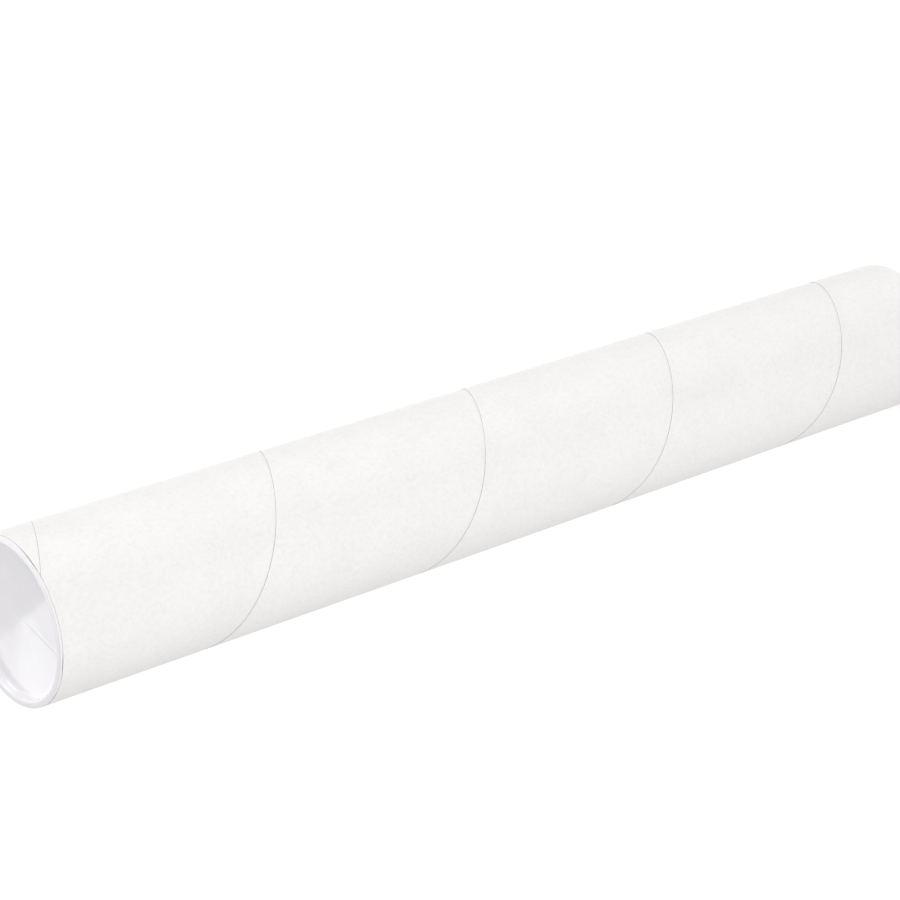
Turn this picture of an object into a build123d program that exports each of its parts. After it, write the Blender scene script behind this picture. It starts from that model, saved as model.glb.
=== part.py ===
from build123d import *
import os

os.makedirs("parts", exist_ok=True)

# Tube: spiral-wound paperboard, one glued piece
bore_dia = 80.0
tube_wall = 2.0
tube_length = 600.0

# Butt seam of the white outer strip: a left-hand helix, open by a hair
seam_lead = 132.8
seam_width = 0.6
seam_depth = 0.4
seam_top_angle = 0.0

# End cap: moulded plug with a thin flange over the tube's end
flange_overhang = 1.7
flange_thick = 1.3
flange_edge = 0.4
plug_clearance = 0.1
plug_depth = 18.0
plug_wall = 1.4
plug_taper = 0.4
plug_lead_in = 0.5
mouth_edge = 0.3

# Thin web across the plug: flat sectors that meet in creases and fall to the centre
web_thick = 1.2
web_depth = 5.0
crease_angles = (-63.0, -11.0, 80.0, 167.0, 210.0)
crease_rises = (1.4, 1.0, 2.6, 1.6, 1.4)

# Places and sizes that follow from the values above
bore_radius = bore_dia / 2
tube_radius = bore_radius + tube_wall
plug_radius = bore_radius - plug_clearance
plug_tip_radius = plug_radius - plug_taper
recess_radius = plug_radius - plug_wall
skirt_tip_radius = plug_tip_radius - plug_wall
flange_radius = bore_radius + flange_overhang
tube_bottom = flange_thick
tube_top = tube_bottom + tube_length
tube_middle = tube_bottom + tube_length / 2
web_centre = tube_top - web_depth
web_embed = plug_wall / 2

# The seam's cutter runs a little past both ends of the tube and stands proud of its face
seam_overrun = seam_lead / 20
seam_proud = 0.6
seam_start = tube_bottom - seam_overrun
seam_height = tube_length + 2 * seam_overrun
seam_start_angle = seam_top_angle + 360.0 * (tube_top - seam_start) / seam_lead

# The creased dish is the point of a wide flat pyramid, whose corners lie far outside the cap
dish_height = 2 * max(crease_rises) + web_thick
dish_radii = [recess_radius * dish_height / rise for rise in crease_rises]

# Tube wall with the helical seam cut into its outer face and out through both ends
with BuildPart() as tube_body:
    with BuildSketch(Plane.XY.offset(tube_bottom)):
        Circle(tube_radius)
        Circle(bore_radius, mode=Mode.SUBTRACT)
    extrude(amount=tube_length)
    with BuildLine(Plane.XY.offset(seam_start).rotated((0, 0, seam_start_angle))):
        seam_path = Helix(pitch=seam_lead, height=seam_height, radius=tube_radius, lefthand=True)
    seam_foot = seam_path @ 0
    seam_plane = Plane(origin=seam_foot, x_dir=(seam_foot.X, seam_foot.Y, 0), z_dir=seam_path % 0)
    with BuildSketch(seam_plane):
        with Locations(((seam_proud - seam_depth) / 2, 0)):
            Rectangle(seam_proud + seam_depth, seam_width)
    sweep(path=seam_path, is_frenet=True, mode=Mode.SUBTRACT)

# Creased web: a sheet of even thickness between two of the flat pyramids, cut round
dish_corners = [Vector(r, 0).rotate(Axis.Z, a) for r, a in zip(dish_radii, crease_angles)]
with BuildPart() as web:
    with BuildSketch(Plane.XY.offset(web_centre - web_thick + dish_height)) as under_side:
        with BuildLine():
            Polyline(*dish_corners, close=True)
        make_face()
    loft(sections=[under_side.sketch, Vertex(0, 0, web_centre - web_thick)])
    with BuildSketch(Plane.XY.offset(web_centre - web_thick)):
        Circle(recess_radius + web_embed)
    extrude(amount=dish_height, mode=Mode.INTERSECT)
    with BuildSketch(Plane.XY.offset(web_centre + dish_height)) as upper_side:
        with BuildLine():
            Polyline(*dish_corners, close=True)
        make_face()
    loft(sections=[upper_side.sketch, Vertex(0, 0, web_centre)], mode=Mode.SUBTRACT)

# Cap: half section of flange and plug with the tube's end at height zero, turned about the axis
cap_plane = Plane(origin=(0, 0, tube_top), x_dir=(1, 0, 0), z_dir=(0, -1, 0))
with BuildPart() as top_cap:
    with BuildSketch(cap_plane) as cap_section:
        with BuildLine():
            Polyline(
                (recess_radius, -web_depth - web_thick),
                (recess_radius, flange_thick),
                (flange_radius, flange_thick),
                (flange_radius, 0),
                (plug_radius, 0),
                (plug_tip_radius, -plug_depth),
                (skirt_tip_radius, -plug_depth),
                close=True,
            )
        make_face()
        chamfer(cap_section.vertices().group_by(Axis.Y)[-1].sort_by(Axis.X)[-1], flange_edge)
        chamfer(cap_section.vertices().group_by(Axis.Y)[-1].sort_by(Axis.X)[0], mouth_edge)
        chamfer(cap_section.vertices().sort_by_distance((plug_tip_radius, -plug_depth))[0], plug_lead_in)
    revolve(axis=Axis.Z)
    add(web.part)

# The other end takes the same moulding, turned over
with BuildPart() as bottom_cap:
    mirror(top_cap.part, about=Plane.XY.offset(tube_middle))

tube_body.part.label = "tube_body"
top_cap.part.label = "top_cap"
bottom_cap.part.label = "bottom_cap"
export_step(tube_body.part, "parts/tube_body.step")
export_step(top_cap.part, "parts/top_cap.step")
export_step(bottom_cap.part, "parts/bottom_cap.step")
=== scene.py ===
import math

import bmesh
import bpy
from mathutils import Matrix, Vector


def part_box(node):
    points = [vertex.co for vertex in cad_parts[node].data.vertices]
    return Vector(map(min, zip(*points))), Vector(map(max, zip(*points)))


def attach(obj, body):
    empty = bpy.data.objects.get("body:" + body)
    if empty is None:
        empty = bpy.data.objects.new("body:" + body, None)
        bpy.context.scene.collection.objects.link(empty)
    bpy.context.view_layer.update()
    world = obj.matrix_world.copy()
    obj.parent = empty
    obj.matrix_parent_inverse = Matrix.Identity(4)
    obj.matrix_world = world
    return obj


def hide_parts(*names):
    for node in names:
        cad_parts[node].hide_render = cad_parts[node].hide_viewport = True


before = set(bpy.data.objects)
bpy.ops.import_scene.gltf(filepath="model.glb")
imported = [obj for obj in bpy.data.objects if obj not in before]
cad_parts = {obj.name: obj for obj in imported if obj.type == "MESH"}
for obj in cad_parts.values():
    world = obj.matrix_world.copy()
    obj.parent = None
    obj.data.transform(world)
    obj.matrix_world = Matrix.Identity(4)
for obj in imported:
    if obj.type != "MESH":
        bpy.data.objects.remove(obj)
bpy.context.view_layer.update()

# Sizes in metres, read from the frame where it gives them
tube_low, tube_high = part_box("tube_body")
cap_low, cap_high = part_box("top_cap")
TUBE_R = (tube_high[0] - tube_low[0]) / 2
BORE_R = 0.040
TOP = tube_high[2]
BOTTOM = tube_low[2]
MIDDLE = (TOP + BOTTOM) / 2
FLANGE_R = 0.0419
FLANGE_FACE = cap_high[2]
PLUG_TIP = cap_low[2]

# Outer strip: a left-hand helix whose seam meets the tube's top end on +X
LEAD = 0.1328
TURN_STEPS = 168
SEAM_WIDTH = 0.0006
SEAM_GAP = 0.00006
SEAM_STEP = 0.00025
STEP_RUN = 0.0025
SEAM_DEPTH = 0.0004
LINER_DEPTH = 0.0003
SEAM_SHOULDER = 0.12  # share of the seam's depth that its rounded edge takes
EDGE_STEPS = 5
STRIP_CELLS = 16
PAPER_SKIN = 0.0007
PLY = 0.0004
PAPER_SLOT, GAP_SLOT, BORE_SLOT, END_SLOT = range(4)

# Cap: recess, plug and the creased web, whose creases run out from the centre
RECESS_R = 0.0385
SKIRT_TIP_R = 0.0381
PLUG_R = 0.0399
PLUG_TIP_R = 0.0395
PLUG_LEAD_IN = 0.0005
WEB_T = 0.0012
WEB_MID = TOP - 0.0050
WEB_FILLET = 0.0020
CREASES = (-63.0, -11.0, 80.0, 167.0, 210.0)
CREASE_RISES = (0.0014, 0.0010, 0.0026, 0.0016, 0.0014)
CREASE_RIDGES = (0.00010, 0.0, 0.0, 0.0, 0.00002)
CREASE_WIDTH = 0.00045
CREASE_SOFT = 0.00012
SWELL = (-135.0, 55.0, 0.012, 0.0009)  # azimuth, half width, start radius and rise at the rim
RIDGE_GROWTH = 0.006
WEB_RINGS = 24
CAP_STEP = 1.5
FLANGE_ROUND = 0.00035
LIP = 0.0002
MOUTH_ROUND = 0.0004

# Where the soft flange stands off the tube's end a little, as (azimuth, half width, lift)
FLANGE_LIFTS = ((13.0, 12.0, 0.00042), (-61.0, 7.0, 0.00034), (-92.0, 6.0, 0.00034))
LIFT_RUN = 0.0012

# Stage: the world's light on the object, the floor's half width, and its glow at two distances from the axis
ROOM_LIGHT = 0.61
FLOOR_SPAN = 12.0
FLOOR_REACH = (0.8, 3.0)
FLOOR_GLOW = (0.38, 0.56)

# Edges that turn more than this stay crisp in the shading
SHARP_ANGLE = math.radians(40.0)


def new_object(name, bm, materials, body, node):
    mesh = bpy.data.meshes.new(name)
    bm.normal_update()
    for edge in bm.edges:
        edge.smooth = edge.calc_face_angle(0.0) < SHARP_ANGLE
    bm.to_mesh(mesh)
    bm.free()
    for material in materials:
        mesh.materials.append(material)
    obj = bpy.data.objects.new(name, mesh)
    bpy.context.scene.collection.objects.link(obj)
    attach(obj, body)
    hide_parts(node)


def nodes_of(name):
    material = bpy.data.materials.new(name)
    material.use_nodes = True
    tree = material.node_tree
    return material, tree, tree.nodes["Principled BSDF"]


def object_coords(tree):
    return tree.nodes.new("ShaderNodeTexCoord").outputs["Object"]


def noise(tree, coords, scale, detail=3.0, rough=0.55, stretch=None):
    tex = tree.nodes.new("ShaderNodeTexNoise")
    tex.inputs["Scale"].default_value = scale
    tex.inputs["Detail"].default_value = detail
    tex.inputs["Roughness"].default_value = rough
    if stretch:
        mapping = tree.nodes.new("ShaderNodeMapping")
        mapping.inputs["Scale"].default_value = stretch
        tree.links.new(coords, mapping.inputs["Vector"])
        coords = mapping.outputs["Vector"]
    tree.links.new(coords, tex.inputs["Vector"])
    return tex.outputs["Fac"]


def ramp(tree, fac, stops):
    node = tree.nodes.new("ShaderNodeValToRGB")
    while len(node.color_ramp.elements) < len(stops):
        node.color_ramp.elements.new(0.5)
    for element, (pos, colour) in zip(node.color_ramp.elements, stops):
        element.position = pos
        element.color = (*colour, 1.0)
    tree.links.new(fac, node.inputs["Fac"])
    return node.outputs["Color"]


def multiply(tree, a, b):
    node = tree.nodes.new("ShaderNodeMix")
    node.data_type = "RGBA"
    node.blend_type = "MULTIPLY"
    node.inputs["Factor"].default_value = 1.0
    tree.links.new(a, node.inputs["A"])
    tree.links.new(b, node.inputs["B"])
    return node.outputs["Result"]


def math_node(tree, operation, a, b):
    node = tree.nodes.new("ShaderNodeMath")
    node.operation = operation
    tree.links.new(a, node.inputs[0])
    if isinstance(b, bpy.types.NodeSocket):
        tree.links.new(b, node.inputs[1])
    else:
        node.inputs[1].default_value = b
    return node.outputs["Value"]


def map_range(tree, value, low, high, to_low, to_high):
    node = tree.nodes.new("ShaderNodeMapRange")
    node.inputs["From Min"].default_value = low
    node.inputs["From Max"].default_value = high
    node.inputs["To Min"].default_value = to_low
    node.inputs["To Max"].default_value = to_high
    tree.links.new(value, node.inputs["Value"])
    return node.outputs["Result"]


def shown_to_eye(tree):
    """1 where the camera sees a surface itself, in a reflection or through something, and 0 elsewhere."""
    path = tree.nodes.new("ShaderNodeLightPath").outputs
    direct = math_node(tree, "MAXIMUM", path["Is Camera Ray"], path["Is Glossy Ray"])
    return math_node(tree, "MAXIMUM", direct, path["Is Transmission Ray"])


def bump(tree, bsdf, layers):
    normal = None
    for height, strength, distance in layers:
        node = tree.nodes.new("ShaderNodeBump")
        node.inputs["Strength"].default_value = strength
        node.inputs["Distance"].default_value = distance
        tree.links.new(height, node.inputs["Height"])
        if normal:
            tree.links.new(normal, node.inputs["Normal"])
        normal = node.outputs["Normal"]
    tree.links.new(normal, bsdf.inputs["Normal"])


def axis_distance(tree, coords):
    """Distance of a point from the tube's axis."""
    xyz = tree.nodes.new("ShaderNodeSeparateXYZ")
    tree.links.new(coords, xyz.inputs["Vector"])
    flat = tree.nodes.new("ShaderNodeCombineXYZ")
    tree.links.new(xyz.outputs["X"], flat.inputs["X"])
    tree.links.new(xyz.outputs["Y"], flat.inputs["Y"])
    length = tree.nodes.new("ShaderNodeVectorMath")
    length.operation = "LENGTH"
    tree.links.new(flat.outputs["Vector"], length.inputs[0])
    return length.outputs["Value"]


# White outer paper: fine fibre mottling, pale flecks, a faint cloudiness and a soft tooth
def paper_material():
    material, tree, bsdf = nodes_of("white_paper")
    co = object_coords(tree)
    fibre = noise(tree, co, 1700.0, 4.0, 0.65)
    mottle = noise(tree, co, 500.0, 3.0, 0.6)
    cloud = noise(tree, co, 45.0, 3.0, 0.5)
    base = ramp(tree, mottle, [
        (0.32, (0.896, 0.884, 0.867)), (0.50, (0.928, 0.917, 0.901)), (0.70, (0.946, 0.936, 0.921)),
    ])
    flecks = ramp(tree, fibre, [(0.28, (0.955, 0.955, 0.955)), (0.48, (1.0, 1.0, 1.0))])
    tone = ramp(tree, cloud, [(0.35, (0.985, 0.982, 0.981)), (0.60, (1.0, 1.0, 1.0))])
    tree.links.new(multiply(tree, multiply(tree, base, flecks), tone), bsdf.inputs["Base Color"])
    bsdf.inputs["Roughness"].default_value = 0.62
    bsdf.inputs["Specular IOR Level"].default_value = 0.30
    bump(tree, bsdf, [(cloud, 0.10, 0.0006), (mottle, 0.45, 0.0003), (fibre, 0.25, 0.00012)])
    return material


# Pale board under the white strip, seen in the seam's gap, in the bore and on the tube's ends
def board_material(name, plies):
    material, tree, bsdf = nodes_of(name)
    co = object_coords(tree)
    fibre = noise(tree, co, 900.0, 4.0, 0.7)
    base = ramp(tree, fibre, [
        (0.30, (0.50, 0.485, 0.478)), (0.55, (0.60, 0.583, 0.576)), (0.75, (0.67, 0.652, 0.645)),
    ])
    if plies:
        radius = axis_distance(tree, co)
        wave = math_node(tree, "SINE", math_node(tree, "MULTIPLY", radius, 2 * math.pi / PLY), 0.0)
        lines = ramp(tree, wave, [(0.0, (0.86, 0.85, 0.83)), (0.5, (1.0, 1.0, 1.0))])
        skin = math_node(tree, "GREATER_THAN", radius, TUBE_R - PAPER_SKIN)
        white = ramp(tree, skin, [(0.0, (1.0, 1.0, 1.0)), (1.0, (1.44, 1.46, 1.455))])
        base = multiply(tree, multiply(tree, base, lines), white)
    tree.links.new(base, bsdf.inputs["Base Color"])
    bsdf.inputs["Roughness"].default_value = 0.85
    bsdf.inputs["Specular IOR Level"].default_value = 0.2
    bump(tree, bsdf, [(fibre, 0.3, 0.0002)])
    return material


# Soft white moulded plastic: cool, slightly see-through, with a satin skin
def plastic_material():
    material, tree, bsdf = nodes_of("white_ldpe")
    co = object_coords(tree)
    grain = noise(tree, co, 1400.0, 2.0, 0.5)
    flow = noise(tree, co, 70.0, 2.0, 0.5, (1.6, 0.5, 1.0))
    colour = ramp(tree, flow, [(0.30, (0.908, 0.890, 0.918)), (0.70, (0.930, 0.912, 0.940))])
    tree.links.new(colour, bsdf.inputs["Base Color"])
    gloss = ramp(tree, flow, [(0.30, (0.15, 0.15, 0.15)), (0.70, (0.21, 0.21, 0.21))])
    tree.links.new(gloss, bsdf.inputs["Roughness"])
    bsdf.inputs["Specular IOR Level"].default_value = 0.5
    bsdf.inputs["Subsurface Weight"].default_value = 0.15
    bsdf.inputs["Subsurface Radius"].default_value = (0.0008, 0.0007, 0.0008)
    bsdf.inputs["Subsurface Scale"].default_value = 1.0
    bump(tree, bsdf, [(flow, 0.20, 0.0008), (grain, 0.04, 0.00006)])
    return material


PAPER = paper_material()
BOARD = board_material("grey_board", False)
PLY_EDGE = board_material("board_edge", True)
PLASTIC = plastic_material()


def helix_wall(bm, radius, depth, step, shift, wall_mat, gap_mat, inward):
    """A wall laid as one helical strip: its edges turn down into a butt seam, and one sinks by a step."""
    slant = math.cos(math.atan(LEAD / (2 * math.pi * radius)))
    half, edge = SEAM_GAP / 2 / slant, SEAM_WIDTH / 2 / slant
    sign = -1 if inward else 1
    gap = [(0.0, depth), (half * 0.96, depth), (half, depth * 0.5)]
    shoulder = []
    for k in range(1, EDGE_STEPS + 1):
        turn = math.pi / 2 * k / EDGE_STEPS
        drop = depth * SEAM_SHOULDER * (1 - math.sin(turn))
        shoulder.append((half + (edge - half) * (1 - math.cos(turn)), drop))
    slope = [(edge + (STEP_RUN - edge) * k / EDGE_STEPS, 0.0) for k in range(1, EDGE_STEPS + 1)]
    near = []
    for a, s in shoulder + slope:
        run = min(1.0, a / STEP_RUN)
        near.append((a, s + step * (1 - run * run * (3 - 2 * run))))
    flats = [(LEAD * k / STRIP_CELLS, 0.0) for k in range(1, STRIP_CELLS)]
    full = gap + near + flats + [(LEAD - a, s) for a, s in reversed(gap + shoulder)]
    steps = int((TOP - BOTTOM) / LEAD * TURN_STEPS) + 3 * TURN_STEPS
    start = -TURN_STEPS - TURN_STEPS // 2
    rows = []
    for i in range(start, start + steps + 1):
        turn = i / TURN_STEPS
        angle = 2 * math.pi * turn + shift
        ca, sa = math.cos(angle), math.sin(angle)
        row = []
        for a, s in full:
            r = radius + sign * s
            row.append(bm.verts.new((r * ca, r * sa, TOP - turn * LEAD + a)))
        rows.append(row)
    for row, nxt in zip(rows, rows[1:]):
        for j in range(len(full) - 1):
            quad = (row[j], row[j + 1], nxt[j + 1], nxt[j])
            face = bm.faces.new(tuple(reversed(quad)) if inward else quad)
            face.smooth = True
            deep = j < len(gap) or j >= len(full) - 1 - len(gap)
            face.material_index = gap_mat if deep else wall_mat


def trim(bm, z, keep_below):
    normal = (0, 0, 1) if keep_below else (0, 0, -1)
    geom = bm.verts[:] + bm.edges[:] + bm.faces[:]
    bmesh.ops.bisect_plane(bm, geom=geom, dist=1e-7, plane_co=(0, 0, z), plane_no=normal, clear_outer=True)


def angle_of(vert):
    return math.atan2(vert.co.y, vert.co.x)


def close_end(bm, z, up):
    """Joins the outer and the inner wall round one end of the tube."""
    ring = [v for v in bm.verts if abs(v.co.z - z) < 2e-6]
    mid = (TUBE_R + BORE_R) / 2
    out = sorted((v for v in ring if v.co.xy.length > mid), key=angle_of)
    inn = sorted((v for v in ring if v.co.xy.length <= mid), key=angle_of)
    i = j = 0
    while i < len(out) or j < len(inn):
        a, b = out[i % len(out)], inn[j % len(inn)]
        next_out = angle_of(out[i + 1]) if i + 1 < len(out) else angle_of(out[0]) + 2 * math.pi
        next_inn = angle_of(inn[j + 1]) if j + 1 < len(inn) else angle_of(inn[0]) + 2 * math.pi
        if j >= len(inn) or (i < len(out) and next_out <= next_inn):
            i += 1
            tri = (a, out[i % len(out)], b)
        else:
            j += 1
            tri = (a, inn[j % len(inn)], b)
        bm.faces.new(tri if up else tuple(reversed(tri))).material_index = END_SLOT


def tube():
    outer, bore, whole = bmesh.new(), bmesh.new(), bmesh.new()
    helix_wall(outer, TUBE_R, SEAM_DEPTH, SEAM_STEP, 0.0, PAPER_SLOT, GAP_SLOT, True)
    helix_wall(bore, BORE_R, LINER_DEPTH, 0.0, math.pi, BORE_SLOT, BORE_SLOT, False)
    for bm in (outer, bore):
        bmesh.ops.remove_doubles(bm, verts=bm.verts[:], dist=1e-6)
        trim(bm, TOP, True)
        trim(bm, BOTTOM, False)
        bmesh.ops.remove_doubles(bm, verts=bm.verts[:], dist=1e-6)
        wall = bpy.data.meshes.new("wall")
        bm.to_mesh(wall)
        bm.free()
        whole.from_mesh(wall)
        bpy.data.meshes.remove(wall)
    close_end(whole, TOP, True)
    close_end(whole, BOTTOM, False)
    new_object("paper_tube", whole, [PAPER, BOARD, BOARD, PLY_EDGE], "tube", "tube_body")


def bell(a, middle, half_width):
    """1 at an azimuth of middle degrees, falling away to both sides of it."""
    off = (math.degrees(a) - middle + 180.0) % 360.0 - 180.0
    return math.exp(-(off / half_width) ** 2)


def web_height(r, a):
    """Height of the web's face: flat sectors that fall to the centre, fine ridges and a swell on one side."""
    sectors = []
    ridge = 0.0
    for k, crease in enumerate(CREASES):
        nxt = (k + 1) % len(CREASES)
        here, there = math.radians(crease), math.radians(CREASES[nxt])
        low, high = CREASE_RISES[k] / RECESS_R, CREASE_RISES[nxt] / RECESS_R
        sectors.append(r * (low * math.sin(there - a) + high * math.sin(a - here)) / math.sin(there - here))
        along, across = r * math.cos(a - here), r * math.sin(a - here)
        if along > 0:
            grow = min(1.0, along / RIDGE_GROWTH)
            ridge += CREASE_RIDGES[k] * grow * math.exp(-(across / CREASE_WIDTH) ** 2)
    peak = max(sectors)
    blend = CREASE_SOFT * math.log(sum(math.exp((h - peak) / CREASE_SOFT) for h in sectors) / len(sectors))
    middle, half_width, start, rise = SWELL
    reach = max(0.0, (r - start) / (RECESS_R - start))
    swell = rise * reach ** 2 * bell(a, middle, half_width)
    return WEB_MID + peak + blend + ridge + swell


def flange_lift(a):
    """How far the flange's edge stands off the tube's end at one azimuth."""
    lift = 0.0
    for middle, half_width, height in FLANGE_LIFTS:
        lift += height * bell(a, middle, half_width)
    return lift


def arc(r0, z0, size, start, end, count=6):
    turns = [math.radians(start + (end - start) * i / count) for i in range(count + 1)]
    return [(r0 + size * math.cos(t), z0 + size * math.sin(t)) for t in turns]


def cap_section(a):
    """Half section of the cap at one azimuth, from the web's centre round to its underside."""
    inner = RECESS_R - WEB_FILLET
    radii = [inner * k / WEB_RINGS for k in range(1, WEB_RINGS + 1)]
    section = [(r, web_height(r, a)) for r in radii]
    foot = web_height(inner, a)
    section += arc(inner, foot + WEB_FILLET, WEB_FILLET, -75, 0)
    section += arc(RECESS_R + MOUTH_ROUND, FLANGE_FACE - MOUTH_ROUND, MOUTH_ROUND, 180, 90)
    section += arc(FLANGE_R - FLANGE_ROUND, FLANGE_FACE - FLANGE_ROUND, FLANGE_ROUND, 90, 0)
    lift = flange_lift(a)
    section += [(FLANGE_R, TOP + lift + LIP), (FLANGE_R - LIP / 2, TOP + lift + LIP / 4)]
    section += [(FLANGE_R - LIP, TOP + lift), (FLANGE_R - LIFT_RUN, TOP), (PLUG_R, TOP)]
    section += [(PLUG_TIP_R, PLUG_TIP + PLUG_LEAD_IN), (PLUG_TIP_R - PLUG_LEAD_IN, PLUG_TIP)]
    section += [(SKIRT_TIP_R, PLUG_TIP), (RECESS_R, foot - WEB_T)]
    section += [(RECESS_R * k / 4, web_height(RECESS_R * k / 4, a) - WEB_T) for k in (3, 2, 1)]
    return section


def cap_angles():
    """Even steps round the cap, with finer ones beside each crease."""
    angles = {round(CAP_STEP * k, 3) for k in range(round(360 / CAP_STEP))}
    for crease in CREASES:
        for off in (0.0, 0.3, 0.6, 1.0, 1.5, 2.2):
            angles.update((round((crease + off) % 360.0, 3), round((crease - off) % 360.0, 3)))
    return [math.radians(a) for a in sorted(angles)]


def cap(name, node, body, flip):
    bm = bmesh.new()
    columns = []
    for a in cap_angles():
        columns.append([bm.verts.new((r * math.cos(a), r * math.sin(a), z)) for r, z in cap_section(a)])
    face_centre = bm.verts.new((0, 0, WEB_MID))
    back_centre = bm.verts.new((0, 0, WEB_MID - WEB_T))
    for here, there in zip(columns, columns[1:] + columns[:1]):
        bm.faces.new((face_centre, here[0], there[0])).smooth = True
        for k in range(len(here) - 1):
            bm.faces.new((here[k], here[k + 1], there[k + 1], there[k])).smooth = True
        bm.faces.new((here[-1], back_centre, there[-1])).smooth = True
    bmesh.ops.remove_doubles(bm, verts=bm.verts[:], dist=1e-7)
    bmesh.ops.recalc_face_normals(bm, faces=bm.faces[:])
    if flip:
        turn_over = Matrix.Translation((0, 0, 2 * MIDDLE)) @ Matrix.Diagonal((1, 1, -1, 1))
        bmesh.ops.transform(bm, matrix=turn_over, verts=bm.verts[:])
        bmesh.ops.reverse_faces(bm, faces=bm.faces[:])
    new_object(name, bm, [PLASTIC], body, node)


tube()
cap("top_end_cap", "top_cap", "top_plug", False)
cap("bottom_end_cap", "bottom_cap", "bottom_plug", True)

# Camera of the photograph, in the standing frame
camera_data = bpy.data.cameras.new("photo_camera")
camera_data.sensor_width = 36.0
camera_data.lens = 113.505
camera_data.clip_end = 50.0
camera = bpy.data.objects.new("photo_camera", camera_data)
right = Vector((0.412215, -0.501456, -0.760671))
up = Vector((0.533360, 0.809707, -0.244749))
back = Vector((0.738652, -0.304822, 0.601230))
camera.matrix_world = (
    Matrix.Translation((1.09397, -0.43697, 1.21667)) @ Matrix((right, up, back)).transposed().to_4x4()
)
bpy.context.scene.collection.objects.link(camera)
bpy.context.scene.camera = camera


def soft_lamp(name, direction, distance, target, size, watts, colour=(1.0, 1.0, 1.0)):
    data = bpy.data.lights.new(name, "AREA")
    data.shape = "DISK"
    data.size = size
    data.energy = watts
    data.color = colour
    obj = bpy.data.objects.new(name, data)
    direction = Vector(direction).normalized()
    place = Vector(target) + direction * distance
    obj.matrix_world = Matrix.Translation(place) @ direction.to_track_quat("Z", "Y").to_matrix().to_4x4()
    bpy.context.scene.collection.objects.link(obj)


# Soft studio lamps: one from the picture's upper side, one near the camera, one behind over the cap
tube_centre = Vector((0, 0, MIDDLE))
cap_centre = Vector((0, 0, TOP))
soft_lamp("top_softbox", (0.308, 0.920, 0.244), 3.0, cap_centre, 1.0, 29.4, (0.985, 0.996, 1.0))
soft_lamp("front_softbox", back - 0.15 * up + 0.50 * right, 2.2, tube_centre, 1.4, 17.0, (1.0, 0.993, 0.990))
soft_lamp("back_softbox", (-0.656, 0.591, 0.469), 1.4, cap_centre, 0.91, 3.7)

# White studio: level light on the object, plain white to the camera and in reflections
world = bpy.data.worlds.new("studio")
bpy.context.scene.world = world
world.use_nodes = True
tree = world.node_tree
background = tree.nodes["Background"]
background.inputs["Color"].default_value = (1.0, 1.0, 1.0, 1.0)
level = map_range(tree, shown_to_eye(tree), 0.0, 1.0, ROOM_LIGHT, 1.0)
tree.links.new(level, background.inputs["Strength"])

# Plain pale floor, which looks white outside the shadow: it glows more where the lamps reach it less
floor_mesh = bpy.data.meshes.new("floor")
corners = [(FLOOR_SPAN * x, FLOOR_SPAN * y, 0) for x, y in ((-1, -1), (1, -1), (1, 1), (-1, 1))]
floor_mesh.from_pydata(corners, [], [(0, 1, 2, 3)])
floor = bpy.data.objects.new("floor", floor_mesh)
bpy.context.scene.collection.objects.link(floor)
floor_mat, tree, bsdf = nodes_of("pale_floor")
bsdf.inputs["Base Color"].default_value = (0.80, 0.80, 0.80, 1.0)
bsdf.inputs["Roughness"].default_value = 0.9
bsdf.inputs["Specular IOR Level"].default_value = 0.0
bsdf.inputs["Emission Color"].default_value = (1.0, 1.0, 1.0, 1.0)
glow = map_range(tree, axis_distance(tree, object_coords(tree)), *FLOOR_REACH, *FLOOR_GLOW)
tree.links.new(math_node(tree, "MULTIPLY", glow, shown_to_eye(tree)), bsdf.inputs["Emission Strength"])
floor_mesh.materials.append(floor_mat)

bpy.context.scene.view_settings.view_transform = "Standard"
